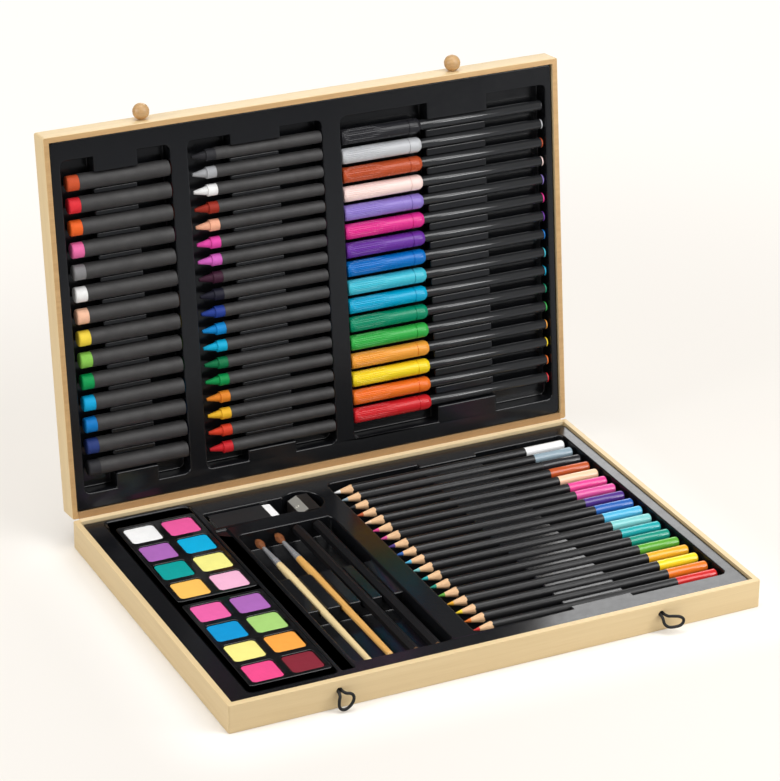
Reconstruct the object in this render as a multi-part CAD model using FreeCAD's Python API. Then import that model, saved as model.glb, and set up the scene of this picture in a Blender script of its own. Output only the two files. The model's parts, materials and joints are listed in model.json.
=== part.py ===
import FreeCAD, Part
import math
import os

from FreeCAD import Vector, Rotation, Placement

# A hinged wooden art case, open. Millimetres, +Z up, +X to the right, the front towards -Y.
# The origin is the middle of the underside of the lower half.

# Case: two shallow mitred frames, each with a panel let into it, hinged at the rear by a cloth strip.
wall = 3.8
panel = 2.5
base_height = 19.0
lid_height = 16.5
corner_round = 1.5
edge_round = 0.6
open_angle = 96.5

# Hinge strip: one leaf on each rear rim, folded down the inner face, stopping short of the corners.
strip = 0.35
strip_play = 0.05
strip_end_inset = 4.3
strip_edge_play = 0.1

# Closure: two turned knobs on the lid and two elastic loops on the lower half.
knob_spacing = 219.0
knob_radius = 5.4
knob_seat = 0.15
peg_radius = 1.6
peg_shift = -2.4
cord_radius = 0.95
cord_hole_radius = 2.1
cord_hole_height = 11.8
knot_radius = 2.9
knot_sink = 1.3

# Trays: thin moulded sheets with pockets that stand on the panel.
sheet = 0.8
tray_play = 0.3
tray_lip = 1.5
tray_corner = 3.0
pocket_corner = 4.0
base_tray_drop = 1.8
lid_tray_drop = 1.7
fit = 0.3
overrun = 5.0

# Margins of the lower tray, from the inner faces of the frame to its pockets.
palette_left_margin = 14.0
palette_brush_gap = 13.5
brush_pencil_gap = 16.0
pencil_right_margin = 9.0
pencil_rear_margin = 13.8
pencil_front_margin = 16.4
palette_rear_margin = 3.0
palette_front_margin = 7.5
brush_front_margin = 14.5

# Coloured pencils, tips to the left.
pencil_count = 18
pencil_length = 172.0
pencil_radius = 3.5
pencil_gap = 4.84
pencil_proud = -0.2
pencil_cone = 12.8
pencil_end_round = 1.6
pencil_dip = 0.6
pencil_tip_room = 2.0
pencil_end_room = 3.0
pencil_side_room = 4.1
pencil_bridge = 43.0
lead_radius = 1.4
lead_tip_radius = 0.3
base_crest_drop = 2.5

# Two brushes and two black drawing pencils share one pocket, lying front to back.
brush_count = 2
drawing_pencil_count = 2
stick_pitch = 14.7
stick_left_room = 11.7
stick_right_room = 10.1
stick_bridge_to_neck = 21.9
stick_bridge = 45.2
stick_slot_gap = 15.2
brush_front_room = 2.8
brush_rear_room = 1.1
brush_proud = -1.9
brush_stagger = 2.0
handle_end_radius = 1.95
handle_belly_radius = 2.65
handle_neck_radius = 2.15
handle_length = 134.0
handle_belly_from_neck = 17.0
handle_end_round = 1.4
ferrule_length = 24.5
ferrule_tip_radius = 1.15
ferrule_wall = 0.25
ferrule_socket = 8.0
bristle_length = 12.5
bristle_belly_radius = 2.8
bristle_belly_share = 0.55
bristle_point_radius = 0.25
bristle_root = 6.0
drawing_pencil_length = 174.0
drawing_pencil_radius = 3.4
drawing_pencil_sides = 6
drawing_pencil_proud = -0.5
drawing_pencil_room = 1.45

# Watercolour palettes: two blocks of pans in one stepped recess.
pan_columns = 2
pan_rows = 4
pan_size = 21.4
pan_pitch = 26.3
pan_corner = 3.0
pan_depth = 4.0
pan_inset = 0.15
pan_drop = 0.3
palette_rim = 3.15
palette_corner = 2.5
palette_height = 13.8
palette_gap = 4.5
palette_finger_room = 9.8
palette_front_room = 5.8
palette_side_room = 1.2
palette_ledge_left = 3.0
palette_ledge_end = 1.4
palette_ledge_drop = 0.9
palette_shelf_drop = 4.9

# Eraser in a cardboard sleeve, in a slot that opens into a round well with a sharpener.
eraser_length = 44.3
eraser_width = 19.8
eraser_height = 12.2
eraser_round = 1.2
eraser_stub = 6.4
eraser_recess = 1.4
sleeve_wall = 0.4
slot_side_room = 0.6
slot_left_room = 2.6
slot_rear_margin = 19.0
slot_reach = 8.8
well_radius = 14.2
well_reach = 19.0
sharpener_width = 14.0
sharpener_length = 22.0
sharpener_height = 12.6
sharpener_offset = 1.2
sharpener_slope = 27.0
sharpener_ridge = 6.2
sharpener_bore = 3.9
sharpener_bore_tip = 0.9
sharpener_bore_inset = 1.6
sharpener_bore_cover = 0.6
blade_length = 20.0
blade_width = 6.6
blade_thickness = 0.5
screw_radius = 1.6
screw_inset = 2.2
screw_head = 0.8
screw_shank_radius = 0.9
screw_shank = 2.2

# Shallow groove between the palettes and the brushes.
groove_width = 8.1
groove_drop = 1.2

# Margins and pockets of the lid tray, seen from inside with the hinge at the bottom.
pastel_left_margin = 7.0
pastel_crayon_gap = 12.0
crayon_marker_gap = 13.1
marker_right_margin = 5.1
lid_hinge_margin = 11.5
lid_free_margin = 13.4
lid_row_room = 7.45
lid_crest_drop = 3.3

# Oil pastels, bare ends to the left.
pastel_count = 14
pastel_length = 68.8
pastel_radius = 5.25
pastel_gap = 4.13
pastel_proud = 0.95
pastel_stub = 7.6
pastel_round = 0.6
pastel_left_room = 4.0
pastel_right_room = 0.7
pastel_bridge = 29.5
paper = 0.2

# Wax crayons, points to the left.
crayon_count = 18
crayon_length = 89.6
crayon_radius = 4.05
crayon_gap = 3.58
crayon_proud = 0.25
crayon_cone = 9.2
crayon_collar = 6.4
crayon_tip_radius = 1.1
crayon_cone_radius = 3.2
crayon_left_room = 3.4
crayon_right_room = 0.4
crayon_bridge = 34.5

# Felt pens, caps to the left.
marker_count = 16
marker_length = 147.8
marker_radius = 3.5
marker_cap_radius = 5.1
marker_gap = 2.6
marker_proud = 0.8
marker_cap = 57.2
marker_cap_wall = 0.9
marker_cap_end = 2.0
marker_cap_round = 1.4
marker_collar = 3.0
marker_neck_radius = 3.1
marker_neck = 14.0
marker_nib_radius = 1.2
marker_nib = 4.5
marker_plug_radius = 2.7
marker_plug = 8.0
marker_plug_proud = 1.2
marker_left_room = 0.6
marker_right_room = 1.5
marker_bridge_offset = 4.8
marker_bridge = 44.0

# Elastic loops: points from the middle of the hole, right, outwards and up, taken by hand.
left_loop_route = [
    (1.0, 4.2, 0.0),
    (5.9, 4.6, -0.6),
    (7.6, 5.0, -4.0),
    (5.2, 5.6, -8.2),
    (0.6, 6.0, -10.4),
    (-2.6, 5.4, -8.8),
    (-2.4, 4.6, -4.0),
    (-1.0, 3.8, 0.0),
]
right_loop_route = [
    (1.0, 4.0, 0.0),
    (5.6, 5.0, -0.4),
    (10.2, 6.2, -1.0),
    (12.6, 6.8, -3.6),
    (10.6, 7.2, -6.8),
    (6.0, 7.2, -7.0),
    (1.4, 6.6, -6.6),
    (-1.2, 5.4, -4.0),
    (-1.0, 3.6, 0.0),
]
least_arc_share = 0.45

# Everything below follows from the sizes above.
half_gap = strip + strip_play
pencil_pitch = 2 * pencil_radius + pencil_gap
pencil_pocket_width = pencil_tip_room + pencil_length + pencil_end_room
pencil_row = (pencil_count - 1) * pencil_pitch
pencil_pocket_depth = pencil_row + 2 * (pencil_radius + pencil_side_room)
palette_width = (pan_columns - 1) * pan_pitch + pan_size + 2 * palette_rim
palette_length = (pan_rows - 1) * pan_pitch + pan_size + 2 * palette_rim
palette_recess_width = palette_ledge_left + palette_side_room + palette_width + fit
palette_recess_depth = (2 * palette_ledge_end + palette_finger_room + 2 * palette_length
                        + palette_gap + palette_front_room)
stick_count = brush_count + drawing_pencil_count
stick_pocket_width = stick_left_room + (stick_count - 1) * stick_pitch + stick_right_room
brush_length = handle_length + ferrule_length + bristle_length
stick_pocket_length = max(brush_front_room + brush_stagger + brush_length + brush_rear_room,
                          drawing_pencil_length + 2 * drawing_pencil_room)
slot_width = eraser_width + 2 * slot_side_room
pastel_pitch = 2 * pastel_radius + pastel_gap
crayon_pitch = 2 * crayon_radius + crayon_gap
marker_pitch = 2 * marker_cap_radius + marker_gap
pastel_row = (pastel_count - 1) * pastel_pitch
crayon_row = (crayon_count - 1) * crayon_pitch
marker_row = (marker_count - 1) * marker_pitch
pastel_pocket_width = pastel_left_room + pastel_length + pastel_right_room
crayon_pocket_width = crayon_left_room + crayon_length + crayon_right_room
marker_pocket_width = marker_left_room + marker_length + marker_right_room
lid_pocket_depth = 2 * lid_row_room + max(pastel_row + 2 * pastel_radius,
                                          crayon_row + 2 * crayon_radius,
                                          marker_row + 2 * marker_cap_radius)

base_row_width = (palette_left_margin + palette_recess_width + palette_brush_gap + stick_pocket_width
                  + brush_pencil_gap + pencil_pocket_width + pencil_right_margin)
lid_row_width = (pastel_left_margin + pastel_pocket_width + pastel_crayon_gap + crayon_pocket_width
                 + crayon_marker_gap + marker_pocket_width + marker_right_margin)
inner_width = max(base_row_width, lid_row_width)
inner_depth = max(pencil_rear_margin + pencil_pocket_depth + pencil_front_margin,
                  palette_rear_margin + palette_recess_depth + palette_front_margin,
                  slot_rear_margin + slot_width + stick_slot_gap + stick_pocket_length + brush_front_margin,
                  lid_hinge_margin + lid_pocket_depth + lid_free_margin)
case_width = inner_width + 2 * wall
case_depth = inner_depth + 2 * wall
inner_left = -inner_width / 2
inner_rear = inner_depth / 2
inner_front = -inner_depth / 2
base_tray_top = base_height - base_tray_drop
lid_tray_top = lid_height - lid_tray_drop
pocket_floor = panel + sheet
base_crest = base_tray_top - base_crest_drop
lid_crest = lid_tray_top - lid_crest_drop
hinge_y = case_depth / 2
hinge_z = base_height + half_gap

palette_x = inner_left + palette_left_margin
stick_x = palette_x + palette_recess_width + palette_brush_gap
pencil_x = stick_x + stick_pocket_width + brush_pencil_gap
palette_y = inner_rear - palette_rear_margin
stick_y = inner_front + brush_front_margin
pencil_y = inner_rear - pencil_rear_margin
pastel_x = inner_left + pastel_left_margin
crayon_x = pastel_x + pastel_pocket_width + pastel_crayon_gap
marker_x = crayon_x + crayon_pocket_width + crayon_marker_gap
lid_pocket_y = wall + lid_hinge_margin
slot_x = stick_x - slot_reach
slot_rear_y = inner_rear - slot_rear_margin
slot_y = slot_rear_y - slot_width / 2

aligned_share = 0.9
x_axis = Vector(1, 0, 0)
y_axis = Vector(0, 1, 0)
z_axis = Vector(0, 0, 1)


def span(x0, x1, y0, y1, z0, z1):
    """A plain block between the given planes."""
    return Part.makeBox(x1 - x0, y1 - y0, z1 - z0, Vector(x0, y0, z0))


def rounded_span(x0, x1, y0, y1, z0, z1, radius):
    """A block whose four upright edges are rounded."""
    block = span(x0, x1, y0, y1, z0, z1)
    upright = [e for e in block.Edges if abs(e.tangentAt(e.FirstParameter).z) > aligned_share]
    return block.makeFillet(radius, upright)


def revolved(profile, origin, direction):
    """A body of revolution: profile lists (distance along the axis, radius), closed on the axis."""
    points = [Vector(0, 0, profile[0][0])]
    points += [Vector(radius, 0, along) for along, radius in profile]
    points += [Vector(0, 0, profile[-1][0])]
    points = [p for i, p in enumerate(points) if i == 0 or (p - points[i - 1]).Length > 0]
    face = Part.Face(Part.makePolygon(points + [points[0]]))
    body = face.revolve(Vector(0, 0, 0), z_axis, 360)
    return body.transformed(Placement(origin, Rotation(z_axis, direction)).toMatrix(), True)


def fused(shapes):
    return shapes[0].multiFuse(shapes[1:]).removeSplitter() if len(shapes) > 1 else shapes[0]


def channel(along_x, start, end, across, height, radius, top):
    """A U-shaped way for a round tool: a half round below its axis, straight sides up to the top."""
    if along_x:
        round_part = Part.makeCylinder(radius, end - start, Vector(start, across, height), x_axis)
        straight_part = span(start, end, across - radius, across + radius, height, top)
    else:
        round_part = Part.makeCylinder(radius, end - start, Vector(across, start, height), y_axis)
        straight_part = span(across - radius, across + radius, start, end, height, top)
    return round_part.fuse(straight_part)


# Case

def mitred_frame(height):
    """The four sides of a shallow frame centred on the origin, mitred at the corners."""
    half_x, half_y = case_width / 2, case_depth / 2
    outer = rounded_span(-half_x, half_x, -half_y, half_y, 0, height, corner_round)
    rims = [e for e in outer.Edges if abs(e.BoundBox.ZLength) < edge_round]
    outer = outer.makeFillet(edge_round, rims)
    ring = outer.cut(span(-half_x + wall, half_x - wall, -half_y + wall, half_y - wall,
                          -overrun, height + overrun))
    corners = [Vector(-half_x, -half_y, 0), Vector(half_x, -half_y, 0),
               Vector(half_x, half_y, 0), Vector(-half_x, half_y, 0)]
    inner = [Vector(c.x - math.copysign(wall, c.x), c.y - math.copysign(wall, c.y), 0) for c in corners]
    sides = []
    for i in range(4):
        j = (i + 1) % 4
        outline = Part.makePolygon([corners[i], corners[j], inner[j], inner[i], corners[i]])
        sides.append(ring.common(Part.Face(outline).extrude(Vector(0, 0, height))))
    return sides


def loop_places():
    return [-knob_spacing / 2, knob_spacing / 2]


def knob_places():
    """The knobs sit a little to the left of the loops' holes."""
    return [x + peg_shift for x in loop_places()]


def base_case():
    front, right, rear, left = mitred_frame(base_height)
    for x in loop_places():
        hole = Part.makeCylinder(cord_hole_radius, wall + 2 * overrun,
                                 Vector(x, inner_front + overrun, cord_hole_height), -y_axis)
        front = front.cut(hole)
    floor = span(inner_left, -inner_left, inner_front, inner_rear, 0, panel)
    return {"base_front_wall": front, "base_right_wall": right, "base_rear_wall": rear,
            "base_left_wall": left, "base_floor": floor}


def lid_case():
    """The lid lies on its panel here, with its hinge side along y = 0 and its free side away from it."""
    sides = mitred_frame(lid_height)
    hinge_side, right, free_side, left = [s.translated(Vector(0, case_depth / 2, 0)) for s in sides]
    for x in knob_places():
        hole = Part.makeCylinder(peg_radius, wall, Vector(x, case_depth - wall, lid_height / 2), y_axis)
        free_side = free_side.cut(hole)
    board = span(inner_left, -inner_left, wall, case_depth - wall, 0, panel)
    return {"lid_front_wall": free_side, "lid_right_wall": right, "lid_rear_wall": hinge_side,
            "lid_left_wall": left, "lid_panel": board}


def strip_leaf(outer_y, inner_y, rim, tray_top):
    """One leaf of the hinge strip: on the rim, and down the inner face as far as the tray."""
    side = math.copysign(strip, inner_y - outer_y)
    end = case_width / 2 - strip_end_inset
    on_rim = span(-end, end, min(outer_y, inner_y + side), max(outer_y, inner_y + side), rim, rim + strip)
    turned = span(-end, end, min(inner_y, inner_y + side), max(inner_y, inner_y + side),
                  tray_top + strip_edge_play, rim + strip)
    return fused([on_rim, turned])


def knobs():
    pieces = []
    centre_y = case_depth + knob_radius - knob_seat
    for x in knob_places():
        ball = Part.makeSphere(knob_radius, Vector(x, centre_y, lid_height / 2))
        ball = ball.cut(span(x - knob_radius, x + knob_radius, case_depth - overrun, case_depth,
                             0, lid_height))
        peg = Part.makeCylinder(peg_radius, wall, Vector(x, case_depth - wall, lid_height / 2), y_axis)
        pieces.append(fused([ball, peg]))
    return Part.makeCompound(pieces)


def tube(points, radius, name):
    """A round cord: straight runs joined by tangent arcs."""
    edges, radii = [], []
    start = points[0]
    for before, point, after in zip(points, points[1:], points[2:]):
        into, out = point - before, after - point
        run = min(into.Length, out.Length)
        into.normalize()
        out.normalize()
        half_turn = into.getAngle(out) / 2
        reach = least_arc_share * run
        radii.append(reach / math.tan(half_turn))
        first, last = point - into * reach, point + out * reach
        inward = out - into
        inward.normalize()
        middle = point + inward * (radii[-1] / math.cos(half_turn) - radii[-1])
        if (first - start).Length > 0:
            edges.append(Part.LineSegment(start, first).toShape())
        edges.append(Part.Arc(first, middle, last).toShape())
        start = last
    edges.append(Part.LineSegment(start, points[-1]).toShape())
    path = Part.Wire(edges)
    direction = points[1] - points[0]
    section = Part.Wire(Part.makeCircle(radius, points[0], direction))
    body = path.makePipeShell([section], True, False)
    expected = math.pi * radius ** 2 * path.Length
    print(name, "arc radii", [round(r, 2) for r in radii], "length", round(path.Length, 1),
          "volume over section times length", round(body.Volume / expected, 4))
    return body


def elastic_loop(x, route, name):
    """Both legs leave by one hole side by side, and start at the knot on the inner face."""
    outer_y = inner_front - wall
    points = [Vector(x + right, outer_y - out, cord_hole_height + up) for right, out, up in route]
    first = Vector(points[0].x, inner_front, points[0].z)
    last = Vector(points[-1].x, inner_front, points[-1].z)
    return tube([first] + points + [last], cord_radius, name)


def knots():
    """The tied ends behind the front wall, one for each loop, flat against the wood."""
    pieces = []
    centre_y = inner_front + knot_radius - knot_sink
    for x in loop_places():
        ball = Part.makeSphere(knot_radius, Vector(x, centre_y, cord_hole_height))
        pieces += ball.cut(span(x - overrun, x + overrun, inner_front - overrun, inner_front,
                                cord_hole_height - overrun, cord_hole_height + overrun)).Solids
    return Part.makeCompound(pieces)


# Trays

def tray_sheet(y0, y1, top, pockets, cavities, hollows):
    """A flat sheet with a turned-down lip and cup-like pockets, from what each pocket takes away."""
    x0, x1 = inner_left + tray_play, -inner_left - tray_play
    y0, y1 = y0 + tray_play, y1 - tray_play
    body = rounded_span(x0, x1, y0, y1, top - tray_lip, top, tray_corner)
    under = rounded_span(x0 + sheet, x1 - sheet, y0 + sheet, y1 - sheet,
                         top - tray_lip, top - sheet, tray_corner - sheet)
    body = body.cut(under)
    cups = [grown(pocket, top) for pocket in pockets]
    return fused([body] + cups).cut(cavities).cut(hollows)


def grown(pocket, top):
    """The outside of a pocket's cup."""
    x0, x1, y0, y1, floor, radius = pocket
    return rounded_span(x0 - sheet, x1 + sheet, y0 - sheet, y1 + sheet, floor - sheet, top, radius + sheet)


def cavity(pocket, top):
    x0, x1, y0, y1, floor, radius = pocket
    return rounded_span(x0, x1, y0, y1, floor, top + overrun, radius)


def row_cavity(pocket, top, bridge_x, crest, rows, axis_height, radius):
    """A pocket for a row of tools along x, with a bridge across it that has a channel for each tool."""
    x0, x1, y0, y1, floor, corner = pocket
    b0, b1 = bridge_x
    reach = radius + fit
    first, last = min(rows), max(rows)
    crest_block = span(b0, b1, y0 - overrun, y1 + overrun, floor - sheet, crest)
    near_end = span(b0, b1, y0 - overrun, first - reach, floor - sheet, top + overrun)
    far_end = span(b0, b1, last + reach, y1 + overrun, floor - sheet, top + overrun)
    bridge = fused([crest_block, near_end, far_end])
    ways = [channel(True, b0 - overrun, b1 + overrun, y, axis_height, reach, top + 2 * overrun)
            for y in rows]
    bridge = bridge.cut(ways)
    hollow = span(b0 + sheet, b1 - sheet, y0 + sheet, y1 - sheet, floor - 2 * sheet,
                  axis_height - reach - sheet)
    return cavity(pocket, top).cut(bridge), hollow


def stick_axes():
    return [stick_x + stick_left_room + i * stick_pitch for i in range(stick_count)]


def stick_sizes():
    """Radius in the bridge and height of the axis for the brushes and the drawing pencils."""
    brush_axis = base_tray_top + brush_proud - handle_belly_radius
    pencil_axis = base_tray_top + drawing_pencil_proud - drawing_pencil_radius
    return ([(handle_belly_radius, brush_axis)] * brush_count
            + [(drawing_pencil_radius, pencil_axis)] * drawing_pencil_count)


def base_tray():
    top = base_tray_top
    pencil_pocket = (pencil_x, pencil_x + pencil_pocket_width, pencil_y - pencil_pocket_depth, pencil_y,
                     pocket_floor, pocket_corner)
    bridge_start = pencil_x + (pencil_pocket_width - pencil_bridge) / 2
    pencil_cavity, pencil_hollow = row_cavity(
        pencil_pocket, top, (bridge_start, bridge_start + pencil_bridge), base_crest,
        pencil_rows(), pencil_axis_height(), pencil_radius)

    stick_pocket = (stick_x, stick_x + stick_pocket_width, stick_y, stick_y + stick_pocket_length,
                    pocket_floor, pocket_corner)
    bridge_y1 = stick_y + brush_front_room + handle_length - stick_bridge_to_neck
    bridge_y0 = bridge_y1 - stick_bridge
    stick_bridge_block = span(stick_pocket[0] - overrun, stick_pocket[1] + overrun, bridge_y0, bridge_y1,
                              pocket_floor - sheet, base_crest)
    ways = [channel(False, bridge_y0 - overrun, bridge_y1 + overrun, x, height, radius + fit,
                    top + 2 * overrun) for x, (radius, height) in zip(stick_axes(), stick_sizes())]
    stick_cavity = cavity(stick_pocket, top).cut(stick_bridge_block.cut(ways))
    lowest_way = min(height - radius for radius, height in stick_sizes()) - fit - sheet
    stick_hollow = span(stick_pocket[0] + sheet, stick_pocket[1] - sheet, bridge_y0 + sheet,
                        bridge_y1 - sheet, pocket_floor - 2 * sheet, lowest_way)

    ledge = top - palette_ledge_drop
    recess_y0 = palette_y - palette_recess_depth
    recess_x1 = palette_x + palette_recess_width
    palette_step = (palette_x, recess_x1, recess_y0, palette_y, ledge, pocket_corner)
    palette_deep = (palette_x + palette_ledge_left, recess_x1, recess_y0 + palette_ledge_end,
                    palette_y - palette_ledge_end, pocket_floor, palette_corner)
    shelf_y0 = palette_y - palette_ledge_end - palette_finger_room + fit
    palette_shelf = span(palette_x, recess_x1 + overrun, shelf_y0, palette_y, pocket_floor - sheet,
                         top - palette_shelf_drop)
    shelf_hollow = span(palette_deep[0], recess_x1, shelf_y0 + sheet, palette_deep[3],
                        pocket_floor - 2 * sheet, top - palette_shelf_drop - sheet)

    slot = (slot_x, well_x(), slot_y - slot_width / 2, slot_y + slot_width / 2, pocket_floor, fit)
    well_cup = Part.makeCylinder(well_radius + sheet, top - panel, Vector(well_x(), slot_y, panel))
    well_hole = Part.makeCylinder(well_radius, top + overrun - pocket_floor,
                                  Vector(well_x(), slot_y, pocket_floor))

    groove_x = (recess_x1 + stick_x - groove_width) / 2
    groove = (groove_x, groove_x + groove_width, recess_y0 + palette_ledge_end,
              slot[2] - pocket_corner, top - groove_drop, groove_drop)

    pockets = [pencil_pocket, stick_pocket, palette_step, palette_deep, slot, groove]
    cavities = [pencil_cavity, stick_cavity, cavity(palette_step, top),
                cavity(palette_deep, top).cut(palette_shelf), cavity(slot, top), well_hole,
                cavity(groove, top)]
    hollows = [pencil_hollow, stick_hollow, shelf_hollow]
    body = tray_sheet(inner_front, inner_rear, top, pockets, cavities, hollows)
    return body.fuse(well_cup.cut(cavities)).removeSplitter()


def well_x():
    """The middle of the sharpener's round well."""
    return slot_x + slot_left_room + eraser_length + well_reach


def lid_tray():
    top = lid_tray_top
    y0, y1 = lid_pocket_y, lid_pocket_y + lid_pocket_depth
    marker_bridge_x = marker_x + marker_left_room + marker_cap + marker_bridge_offset
    sets = [
        (pastel_x, pastel_pocket_width, pastel_x + (pastel_pocket_width - pastel_bridge) / 2,
         pastel_bridge, lid_rows(pastel_count, pastel_pitch), pastel_axis_height(), pastel_radius),
        (crayon_x, crayon_pocket_width, crayon_x + (crayon_pocket_width - crayon_bridge) / 2,
         crayon_bridge, lid_rows(crayon_count, crayon_pitch), crayon_axis_height(), crayon_radius),
        (marker_x, marker_pocket_width, marker_bridge_x,
         marker_bridge, lid_rows(marker_count, marker_pitch), marker_axis_height(), marker_radius),
    ]
    pockets, cavities, hollows = [], [], []
    for x, width, bridge_x, bridge, rows, axis_height, radius in sets:
        pocket = (x, x + width, y0, y1, pocket_floor, pocket_corner)
        hole, hollow = row_cavity(pocket, top, (bridge_x, bridge_x + bridge), lid_crest,
                                  rows, axis_height, radius)
        pockets.append(pocket)
        cavities.append(hole)
        hollows.append(hollow)
    return tray_sheet(wall, case_depth - wall, top, pockets, cavities, hollows)


# Tools in the lower tray

def pencil_rows():
    """The axes of the pencils, from the rear one to the front one."""
    rear = pencil_y - pencil_side_room - pencil_radius
    return [rear - i * pencil_pitch for i in range(pencil_count)]


def pencil_axis_height():
    return base_tray_top + pencil_proud - pencil_radius


def sharpened_pencil(y):
    """A wooden casing with a sharpened cone, and the lead that runs through it to the point."""
    tip = pencil_x + pencil_tip_room
    place = Vector(tip, y, pencil_axis_height())
    bared = pencil_cone * (lead_radius - lead_tip_radius) / (pencil_radius - lead_tip_radius)
    casing = revolved([(bared, lead_radius), (pencil_cone, pencil_radius), (pencil_length, pencil_radius)],
                      place, x_axis)
    rim = [e for e in casing.Edges if e.BoundBox.XMin > tip + pencil_length - pencil_end_round
           and e.BoundBox.YLength > pencil_radius]
    casing = casing.makeFillet(pencil_end_round, rim)
    lead = revolved([(0, lead_tip_radius), (bared, lead_radius), (pencil_length - pencil_dip, lead_radius)],
                    place, x_axis)
    return Part.makeCompound([casing.cut(lead), lead])


def hexagonal_pencil(x, y0):
    """An unsharpened six-sided drawing pencil with its graphite core."""
    height = base_tray_top + drawing_pencil_proud - drawing_pencil_radius
    turns = [2 * math.pi * i / drawing_pencil_sides for i in range(drawing_pencil_sides + 1)]
    corners = [Vector(x + drawing_pencil_radius * math.sin(turn), y0,
                      height + drawing_pencil_radius * math.cos(turn)) for turn in turns]
    casing = Part.Face(Part.makePolygon(corners)).extrude(Vector(0, drawing_pencil_length, 0))
    core = Part.makeCylinder(lead_radius, drawing_pencil_length, Vector(x, y0, height), y_axis)
    return Part.makeCompound([casing.cut(core), core])


def brush(x, y_end):
    """Handle, ferrule and bristles, from the handle's end at the front to the point at the rear."""
    place = Vector(x, y_end, stick_sizes()[0][1])
    neck = handle_length
    plug_radius = handle_neck_radius - ferrule_wall
    taper = (handle_neck_radius - ferrule_tip_radius) / ferrule_length
    handle = revolved([(0, handle_end_radius - handle_end_round),
                       (handle_end_round, handle_end_radius),
                       (neck / 2, (handle_end_radius + handle_belly_radius) / 2),
                       (neck - handle_belly_from_neck, handle_belly_radius),
                       (neck, handle_neck_radius),
                       (neck, plug_radius),
                       (neck + ferrule_socket, plug_radius - taper * ferrule_socket)], place, y_axis)
    tip = neck + ferrule_length
    ferrule = revolved([(neck, handle_neck_radius), (tip, ferrule_tip_radius)], place, y_axis)
    hair_radius = ferrule_tip_radius - ferrule_wall
    bristles = revolved([(tip - bristle_root, hair_radius), (tip, hair_radius),
                         (tip + bristle_length * bristle_belly_share, bristle_belly_radius),
                         (brush_length, bristle_point_radius)], place, y_axis)
    return handle, ferrule.cut([handle, bristles]), bristles


def palette_block(y1):
    """A black box of pans and the colour tablets in it, from its rear edge."""
    x0 = palette_x + palette_ledge_left + palette_side_room
    z0 = pocket_floor
    z1 = z0 + palette_height
    block = rounded_span(x0, x0 + palette_width, y1 - palette_length, y1, z0, z1, palette_corner)
    tablets = []
    for row in range(pan_rows):
        for column in range(pan_columns):
            px = x0 + palette_rim + column * pan_pitch
            py = y1 - palette_rim - row * pan_pitch
            well = rounded_span(px, px + pan_size, py - pan_size, py, z1 - pan_depth, z1 + overrun,
                                pan_corner)
            block = block.cut(well)
            tablets.append(rounded_span(px + pan_inset, px + pan_size - pan_inset,
                                        py - pan_size + pan_inset, py - pan_inset,
                                        z1 - pan_depth, z1 - pan_drop, pan_corner - pan_inset))
    return block, Part.makeCompound(tablets)


def runs_along_x(edge):
    return abs(edge.tangentAt(edge.FirstParameter).x) > aligned_share


def eraser_and_sleeve():
    x0 = slot_x + slot_left_room
    y0, y1 = slot_y - eraser_width / 2, slot_y + eraser_width / 2
    z0 = pocket_floor + fit
    core = span(x0 + eraser_recess, x0 + eraser_length, y0 + sleeve_wall, y1 - sleeve_wall,
                z0 + sleeve_wall, z0 + eraser_height - sleeve_wall)
    core = core.makeFillet(eraser_round, core.Edges)
    sleeve_end = x0 + eraser_length - eraser_stub
    outer = span(x0, sleeve_end, y0, y1, z0, z0 + eraser_height)
    bore = span(x0 - overrun, sleeve_end + overrun, y0 + sleeve_wall, y1 - sleeve_wall,
                z0 + sleeve_wall, z0 + eraser_height - sleeve_wall)
    outer, bore = [block.makeFillet(eraser_round, [e for e in block.Edges if runs_along_x(e)])
                   for block in (outer, bore)]
    return core, outer.cut(bore)


def sharpener():
    """A wedge sharpener: its bore runs front to back, and the blade lies on the sloping face."""
    x0 = well_x() + sharpener_offset - sharpener_width / 2
    x1 = x0 + sharpener_width
    y0, y1 = slot_y - sharpener_length / 2, slot_y + sharpener_length / 2
    z0 = pocket_floor + fit
    z1 = z0 + sharpener_height
    slope = math.radians(sharpener_slope)
    face_normal = Vector(-math.sin(slope), 0, math.cos(slope))
    face_right = Vector(math.cos(slope), 0, math.sin(slope))
    ridge = Vector(x0 + sharpener_ridge, slot_y, z1)
    frame = Rotation(face_right, y_axis, face_normal, "ZXY")

    def on_slope(shape):
        """Carries a shape from the XY plane to the sloping face, with the ridge at x = 0."""
        return shape.transformed(Placement(ridge, frame).toMatrix(), True)

    half_length = blade_length / 2
    reach = sharpener_width + sharpener_length
    above = on_slope(span(-reach, 0, -reach, reach, 0, reach))
    bore_start = (ridge - face_right * sharpener_bore_inset
                  - face_normal * (sharpener_bore + sharpener_bore_cover))
    bore_start.y = y0
    past_end = sharpener_bore_tip * sharpener_length / (sharpener_bore - sharpener_bore_tip) / 2
    bore = revolved([(-past_end, sharpener_bore + sharpener_bore_tip / 2),
                     (sharpener_length + past_end, sharpener_bore_tip / 2)], bore_start, y_axis)
    body = span(x0, x1, y0, y1, z0, z1).cut(above).cut(bore)
    blade = on_slope(span(-blade_width, 0, -half_length, half_length, 0, blade_thickness))
    hole_x = screw_inset - blade_width
    shank_hole = on_slope(Part.makeCylinder(screw_shank_radius, 2 * blade_thickness,
                                            Vector(hole_x, 0, -blade_thickness / 2)))
    head = on_slope(Part.makeCylinder(screw_radius, screw_head, Vector(hole_x, 0, blade_thickness)))
    shank = on_slope(Part.makeCylinder(screw_shank_radius, screw_shank + blade_thickness,
                                       Vector(hole_x, 0, -screw_shank)))
    screw = fused([head, shank])
    return body.cut(screw), blade.cut(shank_hole), screw


# Tools in the lid tray

def lid_rows(count, pitch):
    """The axes of a row of tools in the lid, from the free side to the hinge side."""
    middle = lid_pocket_y + lid_pocket_depth / 2
    return [middle + ((count - 1) / 2 - i) * pitch for i in range(count)]


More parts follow.
